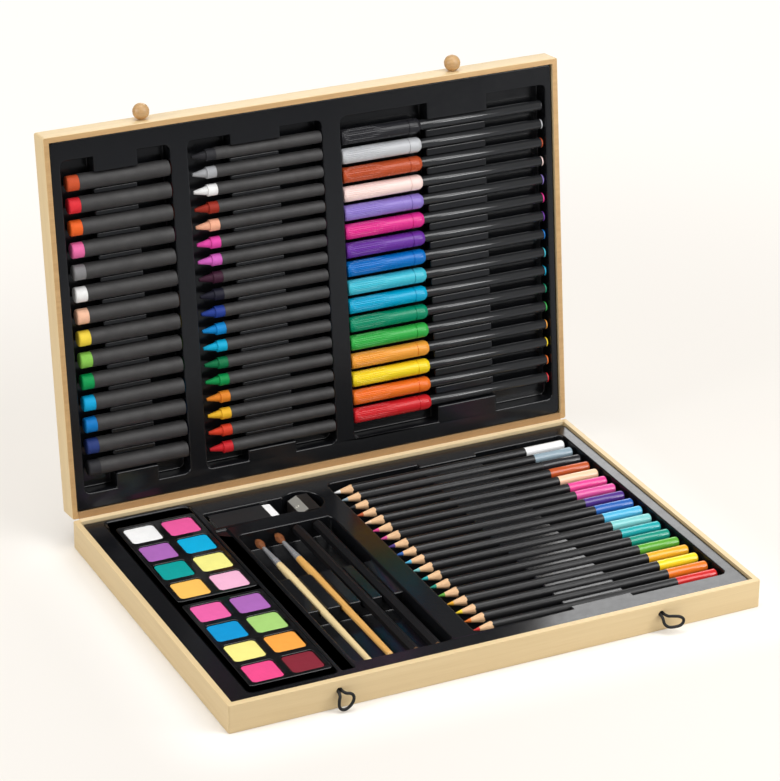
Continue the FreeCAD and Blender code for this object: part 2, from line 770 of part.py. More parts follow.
def pastel_axis_height():
    return lid_tray_top + pastel_proud - pastel_radius


def crayon_axis_height():
    return lid_tray_top + crayon_proud - crayon_radius


def marker_axis_height():
    return lid_tray_top + marker_proud - marker_cap_radius


def pastels():
    sticks, sleeves = [], []
    core = pastel_radius - paper
    for y in lid_rows(pastel_count, pastel_pitch):
        place = Vector(pastel_x + pastel_left_room, y, pastel_axis_height())
        stick = revolved([(0, core - pastel_round), (pastel_round, core),
                          (pastel_length - pastel_round, core),
                          (pastel_length, core - pastel_round)], place, x_axis)
        outer = revolved([(pastel_stub, pastel_radius), (pastel_length - pastel_round, pastel_radius)],
                         place, x_axis)
        sticks.append(stick)
        sleeves.append(outer.cut(stick))
    return Part.makeCompound(sticks), Part.makeCompound(sleeves)


def crayons():
    sticks, sleeves = [], []
    core = crayon_radius - paper
    shoulder = crayon_cone + crayon_collar
    for y in lid_rows(crayon_count, crayon_pitch):
        place = Vector(crayon_x + crayon_left_room, y, crayon_axis_height())
        stick = revolved([(0, crayon_tip_radius), (crayon_cone, crayon_cone_radius),
                          (crayon_cone, core), (crayon_length, core)], place, x_axis)
        outer = revolved([(shoulder, crayon_radius), (crayon_length, crayon_radius)], place, x_axis)
        sticks.append(stick)
        sleeves.append(outer.cut(stick))
    return Part.makeCompound(sticks), Part.makeCompound(sleeves)


def markers():
    """Barrels with their nibs, caps and end plugs."""
    barrels, caps, plugs = [], [], []
    body_end = marker_length - marker_plug_proud
    for y in lid_rows(marker_count, marker_pitch):
        place = Vector(marker_x + marker_left_room, y, marker_axis_height())
        neck_start = marker_cap - marker_neck
        nib_start = neck_start - marker_nib
        bore = marker_cap_radius - marker_cap_wall
        barrel = revolved([(neck_start, marker_nib_radius), (neck_start, marker_neck_radius),
                           (marker_cap - marker_collar, marker_neck_radius),
                           (marker_cap - marker_collar, bore), (marker_cap, bore),
                           (marker_cap, marker_radius), (body_end, marker_radius)], place, x_axis)
        plug = revolved([(body_end - marker_plug, marker_plug_radius), (body_end, marker_plug_radius),
                         (body_end, marker_radius), (marker_length - marker_plug_proud / 2, marker_radius),
                         (marker_length, marker_plug_radius)], place, x_axis)
        nib = revolved([(nib_start, marker_nib_radius / 2), (nib_start + marker_nib / 2, marker_nib_radius),
                        (neck_start + marker_nib, marker_nib_radius)], place, x_axis)
        shell = revolved([(0, marker_cap_radius - marker_cap_round),
                          (marker_cap_round, marker_cap_radius), (marker_cap, marker_cap_radius)],
                         place, x_axis)
        hollow = revolved([(marker_cap_end, bore - marker_cap_round),
                           (marker_cap_end + marker_cap_round, bore), (marker_cap, bore)], place, x_axis)
        barrels += [barrel.cut([plug, nib]), nib]
        caps.append(shell.cut(hollow))
        plugs.append(plug)
    return Part.makeCompound(barrels), Part.makeCompound(caps), Part.makeCompound(plugs)


# Assembly

def opened(shape):
    """Carries a lid piece from lying on its panel to standing open on the hinge."""
    turn = Rotation(x_axis, 180 - open_angle)
    pivot = Vector(0, hinge_y, hinge_z)
    local_pivot = Vector(0, 0, lid_height + half_gap)
    return shape.transformed(Placement(pivot - turn.multVec(local_pivot), turn).toMatrix(), True)


def base_nodes():
    nodes = base_case()
    nodes["hinge_strip_base_leaf"] = strip_leaf(case_depth / 2, inner_rear, base_height, base_tray_top)
    nodes["left_elastic_loop"] = elastic_loop(-knob_spacing / 2, left_loop_route, "left_elastic_loop")
    nodes["right_elastic_loop"] = elastic_loop(knob_spacing / 2, right_loop_route, "right_elastic_loop")
    nodes["loop_knots"] = knots()
    nodes["base_tray"] = base_tray()

    rear_edge = palette_y - palette_ledge_end - palette_finger_room
    front_edge = rear_edge - palette_length - palette_gap
    nodes["rear_palette"], nodes["rear_palette_paints"] = palette_block(rear_edge)
    nodes["front_palette"], nodes["front_palette_paints"] = palette_block(front_edge)
    nodes["eraser"], nodes["eraser_sleeve"] = eraser_and_sleeve()
    nodes["sharpener_body"], nodes["sharpener_blade"], nodes["sharpener_screw"] = sharpener()

    axes = stick_axes()
    front = stick_y + brush_front_room
    for side, x, y in (("left", axes[0], front), ("right", axes[1], front + brush_stagger)):
        handle, ferrule, bristles = brush(x, y)
        nodes[side + "_brush_handle"] = handle
        nodes[side + "_brush_ferrule"] = ferrule
        nodes[side + "_brush_bristles"] = bristles
    for side, x in (("left", axes[-2]), ("right", axes[-1])):
        nodes[side + "_drawing_pencil"] = hexagonal_pencil(x, stick_y + drawing_pencil_room)
    for number, y in enumerate(pencil_rows(), 1):
        nodes["coloured_pencil_%02d" % number] = sharpened_pencil(y)
    return nodes


def lid_nodes():
    nodes = lid_case()
    nodes["hinge_strip_lid_leaf"] = strip_leaf(0, wall, lid_height, lid_tray_top)
    nodes["lid_knobs"] = knobs()
    nodes["lid_tray"] = lid_tray()
    nodes["pastel_sticks"], nodes["pastel_sleeves"] = pastels()
    nodes["crayon_sticks"], nodes["crayon_sleeves"] = crayons()
    nodes["marker_barrels"], nodes["marker_caps"], nodes["marker_plugs"] = markers()
    return {name: opened(shape) for name, shape in nodes.items()}


def main():
    os.makedirs("parts", exist_ok=True)
    nodes = base_nodes()
    nodes.update(lid_nodes())
    for name, shape in nodes.items():
        shape.exportStep("parts/" + name + ".step")
    print("nodes", len(nodes), "case", round(case_width, 2), round(case_depth, 2),
          round(base_height + 2 * half_gap + lid_height, 2))


main()
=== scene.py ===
import json
import math

import bmesh
import bpy
import numpy as np
from mathutils import Matrix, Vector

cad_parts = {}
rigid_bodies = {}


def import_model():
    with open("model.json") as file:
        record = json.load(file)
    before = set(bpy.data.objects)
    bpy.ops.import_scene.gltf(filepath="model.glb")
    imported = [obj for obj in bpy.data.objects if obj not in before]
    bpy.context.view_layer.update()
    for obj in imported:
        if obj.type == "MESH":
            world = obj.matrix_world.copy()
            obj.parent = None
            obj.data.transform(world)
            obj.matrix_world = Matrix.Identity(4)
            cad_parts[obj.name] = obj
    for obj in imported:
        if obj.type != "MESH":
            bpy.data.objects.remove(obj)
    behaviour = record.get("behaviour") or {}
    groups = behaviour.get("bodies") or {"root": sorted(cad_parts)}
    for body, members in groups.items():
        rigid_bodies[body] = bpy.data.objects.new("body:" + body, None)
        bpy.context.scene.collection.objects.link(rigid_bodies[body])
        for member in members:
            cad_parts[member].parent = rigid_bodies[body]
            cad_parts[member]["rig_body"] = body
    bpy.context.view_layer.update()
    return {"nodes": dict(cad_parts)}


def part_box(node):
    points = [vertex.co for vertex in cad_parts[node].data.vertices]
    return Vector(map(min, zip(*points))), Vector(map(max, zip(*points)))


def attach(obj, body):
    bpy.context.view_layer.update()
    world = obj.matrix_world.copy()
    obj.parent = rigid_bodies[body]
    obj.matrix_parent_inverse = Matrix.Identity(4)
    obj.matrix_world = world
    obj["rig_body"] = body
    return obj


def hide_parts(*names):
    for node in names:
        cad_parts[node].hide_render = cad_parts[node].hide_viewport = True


# A hinged wooden art case, open, with its trays of pencils, crayons, pastels, felt pens and paints.
# Shapes are worked out in millimetres and put into their meshes in metres.

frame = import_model()
mm = 0.001
# Angles in degrees from which an edge is sharp, in a made shape and in a copy of a node's mesh, and up
# to which a copy's faces count as flat. Points of a copy that lie closer than merge, in metres, are one.
meshing = {"sharpMade": 38, "sharpCopy": 35, "flatCopy": 1.0, "merge": 2e-6}
draws = np.random.default_rng(seed=11)
print("frame loaded,", len(frame["nodes"]), "nodes")


# Shapes: each is (points, quads, triangles, band of each face)

def skin(rings, hollow=False):
    # Joins closed rings of points, one after the other, with a pole at the middle of both end rings.
    # A hollow skin has no poles: its last ring joins its first.
    count, sides = rings.shape[:2]
    points = rings.reshape(-1, 3)
    here = np.arange(count * sides).reshape(count, sides)
    if hollow:
        there = np.roll(here, -1, axis=0)
    else:
        here, there = here[:-1], here[1:]
    quads = np.stack([here, np.roll(here, -1, 1), np.roll(there, -1, 1), there], -1).reshape(-1, 4)
    bands = np.repeat(np.arange(len(here)), sides)
    triangles = np.zeros((0, 3), int)
    if not hollow:
        first, last = np.arange(sides), (count - 1) * sides + np.arange(sides)
        poles = len(points) + np.array([0, 1])
        points = np.concatenate([points, rings[[0, -1]].mean(1)])
        triangles = np.concatenate([
            np.stack([np.full(sides, poles[0]), np.roll(first, -1), first], -1),
            np.stack([np.full(sides, poles[1]), last, np.roll(last, -1)], -1)])
        bands = np.concatenate([bands, np.zeros(sides, int), np.full(sides, count - 2)])
    return points, quads, triangles, bands


def lathe(profile, sides, ripple=0.0, hollow=False):
    # Turns (distance, radius) pairs round the x axis. Ripple adds to the radius at each ring and side.
    along, radius = np.array(profile, float).T
    angle = np.arange(sides) * 2 * np.pi / sides
    radius = np.broadcast_to(radius[:, None] + ripple, (len(along), sides))
    along = np.broadcast_to(along[:, None], radius.shape)
    return skin(np.stack([along, radius * np.cos(angle), radius * np.sin(angle)], -1), hollow)


def eased(knots, samples, soften=5):
    # A smooth profile: straight lines between the knots, sampled evenly and then averaged with neighbours.
    along, radius = np.array(knots, float).T
    at = np.linspace(along[0], along[-1], samples)
    wide = np.pad(np.interp(at, along, radius), soften // 2, mode="edge")
    return np.stack([at, np.convolve(wide, np.ones(soften) / soften, "valid")], -1)


def tiled(shape, places):
    # Copies of one shape, one at each place, as a single shape. The copy of each point comes back too.
    points, quads, triangles, bands = shape
    places = np.array(places, float)
    step = np.arange(len(places))[:, None, None] * len(points)
    copies = ((points[None] + places[:, None]).reshape(-1, 3), (quads[None] + step).reshape(-1, 4),
              (triangles[None] + step).reshape(-1, 3),
              np.concatenate([np.tile(bands[:len(quads)], len(places)),
                              np.tile(bands[len(quads):], len(places))]))
    return copies, np.repeat(np.arange(len(places)), len(points))


def merged(shapes):
    # Several shapes as one, with their bands kept.
    start, points, quads, triangles, quadBands, triangleBands = 0, [], [], [], [], []
    for p, q, t, b in shapes:
        points.append(p)
        quads.append(q + start)
        triangles.append(t + start)
        quadBands.append(b[:len(q)])
        triangleBands.append(b[len(q):])
        start += len(p)
    return (np.concatenate(points), np.concatenate(quads), np.concatenate(triangles),
            np.concatenate(quadBands + triangleBands))


def alongY(points):
    # Quarter turn that lays the x axis along y.
    return np.stack([-points[:, 1], points[:, 0], points[:, 2]], -1)


hinge = {"openAngle": 96.5, "axisY": 127.14, "axisZ": 19.4, "rim": 16.9}


def stoodOpen(points):
    # Turns points of the lid, lying on its panel with the hinge side at y = 0, up round the hinge axis.
    turn = math.radians(180 - hinge["openAngle"])
    y, z = points[:, 1], points[:, 2] - hinge["rim"]
    return np.stack([points[:, 0], hinge["axisY"] + y * math.cos(turn) - z * math.sin(turn),
                     hinge["axisZ"] + y * math.sin(turn) + z * math.cos(turn)], -1)


def newObject(name, data):
    made = bpy.data.objects.new(name, data)
    bpy.context.scene.collection.objects.link(made)
    return made


def addPiece(name, shape, body, nodes, materials, bandMaterial=None, tint=None):
    # A piece from a shape. Each band of faces has its own material, each point its own tint.
    points, quads, triangles, bands = shape
    mesh = bpy.data.meshes.new(name)
    mesh.from_pydata((points * mm).tolist(), [], quads.tolist() + triangles.tolist())
    for material in materials:
        mesh.materials.append(material)
    if bandMaterial is not None:
        mesh.polygons.foreach_set("material_index", np.array(bandMaterial, np.int32)[bands])
    if tint is not None:
        layer = mesh.color_attributes.new("tint", "FLOAT_COLOR", "POINT")
        layer.data.foreach_set("color", np.array(tint, np.float32).ravel())
    mesh.polygons.foreach_set("use_smooth", np.ones(len(mesh.polygons), bool))
    mesh.set_sharp_from_angle(angle=math.radians(meshing["sharpMade"]))
    mesh.update()
    piece = newObject(name, mesh)
    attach(piece, body)
    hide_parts(*nodes)


def dress(node, materials, edge, choose=None, segments=2, clamp=True):
    # A merged copy of a node's mesh with its flat faces whole and its edges rounded. Choose turns the
    # faces' normals into the numbers of their materials.
    source, sharp = frame["nodes"][node], math.radians(meshing["sharpCopy"])
    name = node.title().replace("_", "")
    name = name[0].lower() + name[1:]
    mesh = bpy.data.meshes.new(name)
    build = bmesh.new()
    build.from_mesh(source.data)
    bmesh.ops.remove_doubles(build, verts=build.verts, dist=meshing["merge"])
    bmesh.ops.dissolve_limit(build, angle_limit=math.radians(meshing["flatCopy"]), verts=build.verts,
                             edges=build.edges, use_dissolve_boundaries=False)
    build.to_mesh(mesh)
    build.free()
    mesh.materials.clear()
    for material in materials:
        mesh.materials.append(material)
    count = len(mesh.polygons)
    index = np.zeros(count, np.int32)
    if choose is not None:
        normals = np.zeros(count * 3, np.float32)
        mesh.polygons.foreach_get("normal", normals)
        index[:] = choose(normals.reshape(-1, 3))
    mesh.polygons.foreach_set("material_index", index)
    mesh.polygons.foreach_set("use_smooth", np.ones(count, bool))
    mesh.set_sharp_from_angle(angle=sharp)
    piece = newObject(name, mesh)
    bevel = piece.modifiers.new("edges", "BEVEL")
    bevel.width = edge * mm
    bevel.segments = segments
    bevel.limit_method = "ANGLE"
    bevel.angle_limit = sharp
    bevel.use_clamp_overlap = clamp
    bevel.harden_normals = True
    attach(piece, source["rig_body"])
    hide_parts(node)


def repaint(node, material):
    # A node that is kept as the CAD has it, with a new material.
    materials = frame["nodes"][node].data.materials
    materials.clear()
    materials.append(material)


# Camera, at the photographed place and angle

cameraView = {"place": (-0.80070, -1.60741, 0.98459), "lens": 148.1, "sensor": 36.0,
              "right": (0.9005408, -0.4346788, 0.0089803),
              "down": (-0.1793221, -0.3901665, -0.9031133),
              "forward": (0.3960680, 0.8116800, -0.4293084)}
lensData = bpy.data.cameras.new("camera")
lensData.sensor_fit = "HORIZONTAL"
lensData.sensor_width = cameraView["sensor"]
lensData.lens = cameraView["lens"]
camera = newObject("camera", lensData)
axes = np.array([cameraView["right"], -np.array(cameraView["down"]), -np.array(cameraView["forward"])])
camera.matrix_world = Matrix.Translation(cameraView["place"]) @ Matrix(axes.T.tolist()).to_4x4()
bpy.context.scene.camera = camera


# Colours and shader groups

def tone(red, green, blue):
    # A colour as a picture shows it, from 0 to 255, turned into the values that shaders read.
    share = np.array([red, green, blue]) / 255
    share = np.where(share <= 0.04045, share / 12.92, ((share + 0.055) / 1.055) ** 2.4)
    return (*share.tolist(), 1.0)


def newGroup(name, inputs, outputs):
    group = bpy.data.node_groups.new(name, "ShaderNodeTree")
    for label, kind, value in inputs:
        socket = group.interface.new_socket(label, in_out="INPUT", socket_type="NodeSocket" + kind)
        if value is not None:
            socket.default_value = value
    for label, kind in outputs:
        group.interface.new_socket(label, in_out="OUTPUT", socket_type="NodeSocket" + kind)
    return group, group.nodes.new("NodeGroupInput"), group.nodes.new("NodeGroupOutput")


def put(tree, kind, **values):
    # Adds a node. Values whose names start with in_ go to the input of that number.
    node = tree.nodes.new("ShaderNode" + kind)
    for key, value in values.items():
        if key.startswith("in_"):
            node.inputs[int(key[3:])].default_value = value
        else:
            setattr(node, key, value)
    return node


def join(tree, *pairs):
    for source, target in pairs:
        tree.links.new(source, target)


def grainGroup():
    # Long streaks with finer ones over them, along x of the vector that comes in.
    group, inside, outside = newGroup("grain", [
        ("Vector", "Vector", None), ("Pale", "Color", None), ("Dark", "Color", None),
        ("Length", "Float", 8.0), ("Width", "Float", 260.0), ("Depth", "Float", 0.6)],
        [("Color", "Color"), ("Height", "Float")])
    stretch = put(group, "CombineXYZ")
    scaled = put(group, "VectorMath", operation="MULTIPLY")
    broad = put(group, "TexNoise", in_2=1.0, in_3=4.0, in_4=0.62, in_8=0.5)
    finer = put(group, "VectorMath", operation="SCALE")
    finer.inputs["Scale"].default_value = 4.3
    fine = put(group, "TexNoise", in_2=1.0, in_3=3.0, in_4=0.5)
    both = put(group, "Math", operation="MULTIPLY_ADD", in_1=0.35)
    limit = put(group, "MapRange", in_1=0.48, in_2=0.86)
    depth = put(group, "Math", operation="MULTIPLY")
    mix = put(group, "Mix", data_type="RGBA")
    join(group, (inside.outputs["Length"], stretch.inputs[0]), (inside.outputs["Width"], stretch.inputs[1]),
         (inside.outputs["Width"], stretch.inputs[2]), (inside.outputs["Vector"], scaled.inputs[0]),
         (stretch.outputs[0], scaled.inputs[1]), (scaled.outputs[0], broad.inputs["Vector"]),
         (scaled.outputs[0], finer.inputs[0]), (finer.outputs[0], fine.inputs["Vector"]),
         (fine.outputs[0], both.inputs[0]), (broad.outputs[0], both.inputs[2]),
         (both.outputs[0], limit.inputs[0]), (limit.outputs[0], depth.inputs[0]),
         (inside.outputs["Depth"], depth.inputs[1]), (depth.outputs[0], mix.inputs["Factor"]),
         (inside.outputs["Pale"], mix.inputs[6]), (inside.outputs["Dark"], mix.inputs[7]),
         (mix.outputs[2], outside.inputs["Color"]), (limit.outputs[0], outside.inputs["Height"]))
    return group


def speckleGroup():
    # Soft patches with small grains over them, for moulded skins, paper, wax and pressed colour.
    group, inside, outside = newGroup("speckle", [
        ("Vector", "Vector", None), ("Color", "Color", None), ("Other", "Color", None),
        ("Patches", "Float", 60.0), ("Grains", "Float", 1500.0), ("Amount", "Float", 0.3),
        ("Gloss", "Float", 0.4), ("Gloss Spread", "Float", 0.1)],
        [("Color", "Color"), ("Height", "Float"), ("Roughness", "Float")])
    patches = put(group, "TexNoise", in_3=3.0, in_4=0.55)
    grains = put(group, "TexNoise", in_3=2.0, in_4=0.6)
    both = put(group, "Math", operation="ADD")
    limit = put(group, "MapRange", in_1=0.7, in_2=1.3)
    amount = put(group, "Math", operation="MULTIPLY")
    mix = put(group, "Mix", data_type="RGBA")
    rough = put(group, "Math", operation="MULTIPLY_ADD")
    join(group, (inside.outputs["Vector"], patches.inputs["Vector"]),
         (inside.outputs["Vector"], grains.inputs["Vector"]),
         (inside.outputs["Patches"], patches.inputs["Scale"]),
         (inside.outputs["Grains"], grains.inputs["Scale"]),
         (patches.outputs[0], both.inputs[0]), (grains.outputs[0], both.inputs[1]),
         (both.outputs[0], limit.inputs[0]), (limit.outputs[0], amount.inputs[0]),
         (inside.outputs["Amount"], amount.inputs[1]), (amount.outputs[0], mix.inputs["Factor"]),
         (inside.outputs["Color"], mix.inputs[6]), (inside.outputs["Other"], mix.inputs[7]),
         (limit.outputs[0], rough.inputs[0]), (inside.outputs["Gloss Spread"], rough.inputs[1]),
         (inside.outputs["Gloss"], rough.inputs[2]),
         (mix.outputs[2], outside.inputs["Color"]), (grains.outputs[0], outside.inputs["Height"]),
         (rough.outputs[0], outside.inputs["Roughness"]))
    return group


effects = {"grain": grainGroup(), "speckle": speckleGroup()}


def newMaterial(name, **sockets):
    material = bpy.data.materials.new(name)
    material.use_nodes = True
    tree = material.node_tree
    shader = tree.nodes["Principled BSDF"]
    for label, value in sockets.items():
        shader.inputs[label.replace("_", " ")].default_value = value
    return material, tree, shader


def bumpTo(tree, shader, height, distance):
    bump = put(tree, "Bump", in_0=1.0, in_1=distance * mm)
    join(tree, (height, bump.inputs["Height"]), (bump.outputs[0], shader.inputs["Normal"]))


def woodMaterial(name, pale, dark, turn=(0, 0, 0), length=8.0, width=260.0, depth=0.35, rough=0.42,
                 relief=0.02, **sockets):
    material, tree, shader = newMaterial(name, Roughness=rough, **sockets)
    place = put(tree, "TexCoord")
    turned = put(tree, "Mapping", in_2=turn)
    grain = put(tree, "Group", node_tree=effects["grain"])
    for label, value in (("Pale", pale), ("Dark", dark), ("Length", length), ("Width", width),
                         ("Depth", depth)):
        grain.inputs[label].default_value = value
    join(tree, (place.outputs["Object"], turned.inputs[0]), (turned.outputs[0], grain.inputs["Vector"]),
         (grain.outputs["Color"], shader.inputs["Base Color"]))
    bumpTo(tree, shader, grain.outputs["Height"], relief)
    return material


def speckled(name, color, other, patches=60.0, grains=1500.0, amount=0.3, rough=0.4, roughSpread=0.1,
             relief=0.01, tinted=False, **sockets):
    # Tinted means that the colour comes from the piece's own tint, and other is how it is shaded down.
    material, tree, shader = newMaterial(name, **sockets)
    place = put(tree, "TexCoord")
    speckle = put(tree, "Group", node_tree=effects["speckle"])
    for label, value in (("Color", color), ("Other", other), ("Patches", patches), ("Grains", grains),
                         ("Amount", amount), ("Gloss", rough), ("Gloss Spread", roughSpread)):
        speckle.inputs[label].default_value = value
    join(tree, (place.outputs["Object"], speckle.inputs["Vector"]),
         (speckle.outputs["Color"], shader.inputs["Base Color"]),
         (speckle.outputs["Roughness"], shader.inputs["Roughness"]))
    if tinted:
        tint = put(tree, "Attribute", attribute_name="tint")
        shade = put(tree, "Mix", data_type="RGBA", blend_type="MULTIPLY", in_0=1.0)
        shade.inputs[7].default_value = other
        join(tree, (tint.outputs["Color"], speckle.inputs["Color"]), (tint.outputs["Color"], shade.inputs[6]),
             (shade.outputs[2], speckle.inputs["Other"]))
    bumpTo(tree, shader, speckle.outputs["Height"], relief)
    return material


print("groups ready")


# Case: eight mitred walls and two panels in wood-effect wrap, with painted shade on the lid's rim faces

caseWrap = {"pale": tone(229, 204, 158), "dark": tone(208, 178, 127), "rimShadePale": tone(206, 168, 116),
            "rimShadeDark": tone(178, 136, 86), "edge": 0.3, "frontFacing": -0.97}
quarter = math.radians(90)
lidLean = math.radians(180 - hinge["openAngle"])
alongCase = woodMaterial("caseWrapLengthwise", caseWrap["pale"], caseWrap["dark"])
alongSide = woodMaterial("caseWrapSide", caseWrap["pale"], caseWrap["dark"], turn=(0, 0, quarter))
alongLid = woodMaterial("caseWrapLidSide", caseWrap["pale"], caseWrap["dark"], turn=(-lidLean, 0, -quarter))
# The same wrap, painted darker and browner for the lid's rim faces that lie in shade: painted shade.
lidRimShade = woodMaterial("lidRimPaintedShade", caseWrap["rimShadePale"], caseWrap["rimShadeDark"], depth=0.5, rough=0.5)


def facingFront(normals):
    # The faces of the lid's rim look to the front and a little up. They get a darker, browner copy of the
    # wrap: painted shade.
    return (normals[:, 1] < caseWrap["frontFacing"]).astype(np.int32)


for node, wrap in (("base_front_wall", alongCase), ("base_rear_wall", alongCase),
                   ("base_left_wall", alongSide), ("base_right_wall", alongSide)):
    dress(node, [wrap], caseWrap["edge"])
for node, wrap in (("lid_front_wall", alongCase), ("lid_rear_wall", alongCase),
                   ("lid_left_wall", alongLid), ("lid_right_wall", alongLid)):
    dress(node, [wrap, lidRimShade], caseWrap["edge"], choose=facingFront)
for node in ("base_floor", "lid_panel"):
    dress(node, [alongCase], caseWrap["edge"])
print("case walls and panels")


# Hinge strip, kept as the CAD has it, with painted shade on its lid leaf

baseStrip = speckled("hingeStripPale", tone(240, 218, 176), tone(216, 188, 138), grains=2600.0, rough=0.7,
                     relief=0.03)
# The lid's leaf takes a browner, darker copy of the strip's colour: painted shade, as on the lid's rim faces.
lidLeafShadeStrip = speckled("hingeStripPaintedShade", tone(180, 142, 96), tone(156, 116, 74), grains=2600.0, rough=0.7,
                    relief=0.03)
repaint("hinge_strip_base_leaf", baseStrip)
repaint("hinge_strip_lid_leaf", lidLeafShadeStrip)


# Trays: black moulded sheets with rounded pocket edges

traySkin = {"edge": 1.0, "color": tone(20, 21, 24), "other": tone(14, 15, 17)}
trayPlastic = speckled("trayPlastic", traySkin["color"], traySkin["other"], patches=14.0, grains=260.0,
                       amount=0.6, rough=0.17, roughSpread=0.08, relief=0.004)
for node in ("base_tray", "lid_tray"):
    dress(node, [trayPlastic], traySkin["edge"], segments=3, clamp=False)
print("trays")


# Turned knobs with their pegs

knob = {"centres": (-111.9, 107.1), "radius": 5.4, "seat": 0.15, "caseDepth": 254.28, "wall": 3.8,
        "middle": 8.25, "peg": 1.6, "pegEnd": 0.3, "neck": 0.24, "crown": 0.12, "groove": 0.12, "rings": 26,
        "grooveEvery": 6, "sides": 40}
knobWood = woodMaterial("knobWood", tone(206, 168, 118), tone(172, 132, 86), length=40.0, width=420.0,
                        depth=0.8, rough=0.38)
turnAngles = np.linspace(math.asin(knob["neck"]), math.pi - knob["crown"], knob["rings"])
ball = np.stack([-knob["radius"] * np.cos(turnAngles), knob["radius"] * np.sin(turnAngles)], -1)
ball[:, 1] -= knob["groove"] * (np.arange(knob["rings"]) % knob["grooveEvery"] == knob["grooveEvery"] - 1)
ball[:, 0] += knob["caseDepth"] + knob["radius"] - knob["seat"]
ball = ball[ball[:, 0] > knob["caseDepth"]]
pegStart = knob["caseDepth"] - knob["wall"]
knobProfile = [(pegStart, knob["peg"] * 0.8), (pegStart + knob["pegEnd"], knob["peg"]),
               (knob["caseDepth"], knob["peg"]), *ball.tolist()]
turned = lathe(knobProfile, knob["sides"])
turned = (alongY(turned[0]), *turned[1:])
knobs, _ = tiled(turned, [(x, 0, knob["middle"]) for x in knob["centres"]])
addPiece("lidKnobs", (stoodOpen(knobs[0]), *knobs[1:]), "lid", ["lid_knobs"], [knobWood])


# Elastic loops: each hangs from its hole in the front side
# Their sizes are in metres, as the cord calls take them. A route is (right, out, up) from the hole.

loopCord = {"radius": 0.00095, "hole": 0.0118, "outerFace": -0.12714, "innerFace": -0.12334,
            "centre": 0.1095, "left": 0.0444, "right": 0.0473, "round": 5, "steps": 14, "order": 3}
leftRoute = [(0.0010, 0.0042, 0.0), (0.0059, 0.0046, -0.0006), (0.0076, 0.0050, -0.0040),
             (0.0052, 0.0056, -0.0082), (0.0006, 0.0060, -0.0104), (-0.0026, 0.0054, -0.0088),
             (-0.0024, 0.0046, -0.0040), (-0.0010, 0.0038, 0.0)]
rightRoute = [(0.0010, 0.0040, 0.0), (0.0056, 0.0050, -0.0004), (0.0102, 0.0062, -0.0010),
              (0.0126, 0.0068, -0.0036), (0.0106, 0.0072, -0.0068), (0.0060, 0.0072, -0.0070),
              (0.0014, 0.0066, -0.0066), (-0.0012, 0.0054, -0.0040), (-0.0010, 0.0036, 0.0)]
cordBlack = speckled("blackElastic", tone(26, 25, 26), tone(14, 14, 15), patches=900.0, grains=3200.0,
                     amount=0.7, rough=0.62, relief=0.08)


def elasticLoop(name, node, side, route):
    centre = side * loopCord["centre"]
    points = [(centre + right, loopCord["outerFace"] - out, loopCord["hole"] + up)
              for right, out, up in route]
    points = [(points[0][0], loopCord["innerFace"], points[0][2]), *points,
              (points[-1][0], loopCord["innerFace"], points[-1][2])]
    curve = bpy.data.curves.new(name, "CURVE")
    curve.dimensions = "3D"
    curve.bevel_depth = loopCord["radius"]
    curve.bevel_resolution = loopCord["round"]
    curve.resolution_u = loopCord["steps"]
    curve.use_fill_caps = True
    curve.materials.append(cordBlack)
    spline = curve.splines.new("NURBS")
    spline.points.add(len(points) - 1)
    for target, point in zip(spline.points, points):
        target.co = (*point, 1.0)
    spline.order_u = loopCord["order"]
    spline.use_endpoint_u = True
    piece = newObject(name, curve)
    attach(piece, "base")
    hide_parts(node)


elasticLoop("leftElasticLoop", "left_elastic_loop", -1, leftRoute)
elasticLoop("rightElasticLoop", "right_elastic_loop", 1, rightRoute)
repaint("loop_knots", cordBlack)
print("knobs and loops")


# Coloured pencils: lead, bared cedar, black lacquer and a dipped end

# A scallop is (size, waves round the cone, turn from one pencil to the next).
pencil = {"length": 172.0, "radius": 3.5, "cone": 12.8, "coneStep": 0.1, "lead": 1.4, "point": 0.3,
          "pointStart": 0.165, "pointRound": 0.2, "dip": 143.0, "dipSpread": 0.8, "dipEdge": (0.1, 0.15),
          "coat": 0.05, "endRound": 1.6, "endSteps": 7, "sides": 40,
          "scallops": ((0.28, 5, 1), (0.14, 11, 2)), "scallopRings": (3, 4)}
pencilTones = [(250, 250, 250), (150, 170, 182), (40, 40, 44), (196, 88, 44), (252, 212, 176), (238, 72, 152),
               (226, 84, 160), (84, 52, 140), (44, 102, 184), (84, 186, 226), (132, 208, 208), (32, 172, 176),
               (24, 150, 130), (96, 172, 56), (242, 176, 40), (255, 222, 40), (240, 124, 36), (214, 44, 44)]
leadWax = speckled("pencilLead", tone(255, 255, 255), tone(225, 225, 225), grains=3000.0, rough=0.6,
                   relief=0.02, tinted=True)
bareCedar = woodMaterial("bareCedar", tone(240, 200, 156), tone(214, 162, 116), length=60.0, width=1300.0,
                         depth=0.6, rough=0.7)
blackLacquer = speckled("blackLacquer", tone(22, 22, 24), tone(16, 16, 18), patches=30.0, grains=900.0,
                        amount=0.5, rough=0.28, roughSpread=0.12, relief=0.002)
dipPaint = speckled("dippedPaint", tone(255, 255, 255), tone(240, 240, 240), patches=80.0, grains=300.0,
                    rough=0.1, roughSpread=0.05, relief=0.0005, tinted=True)

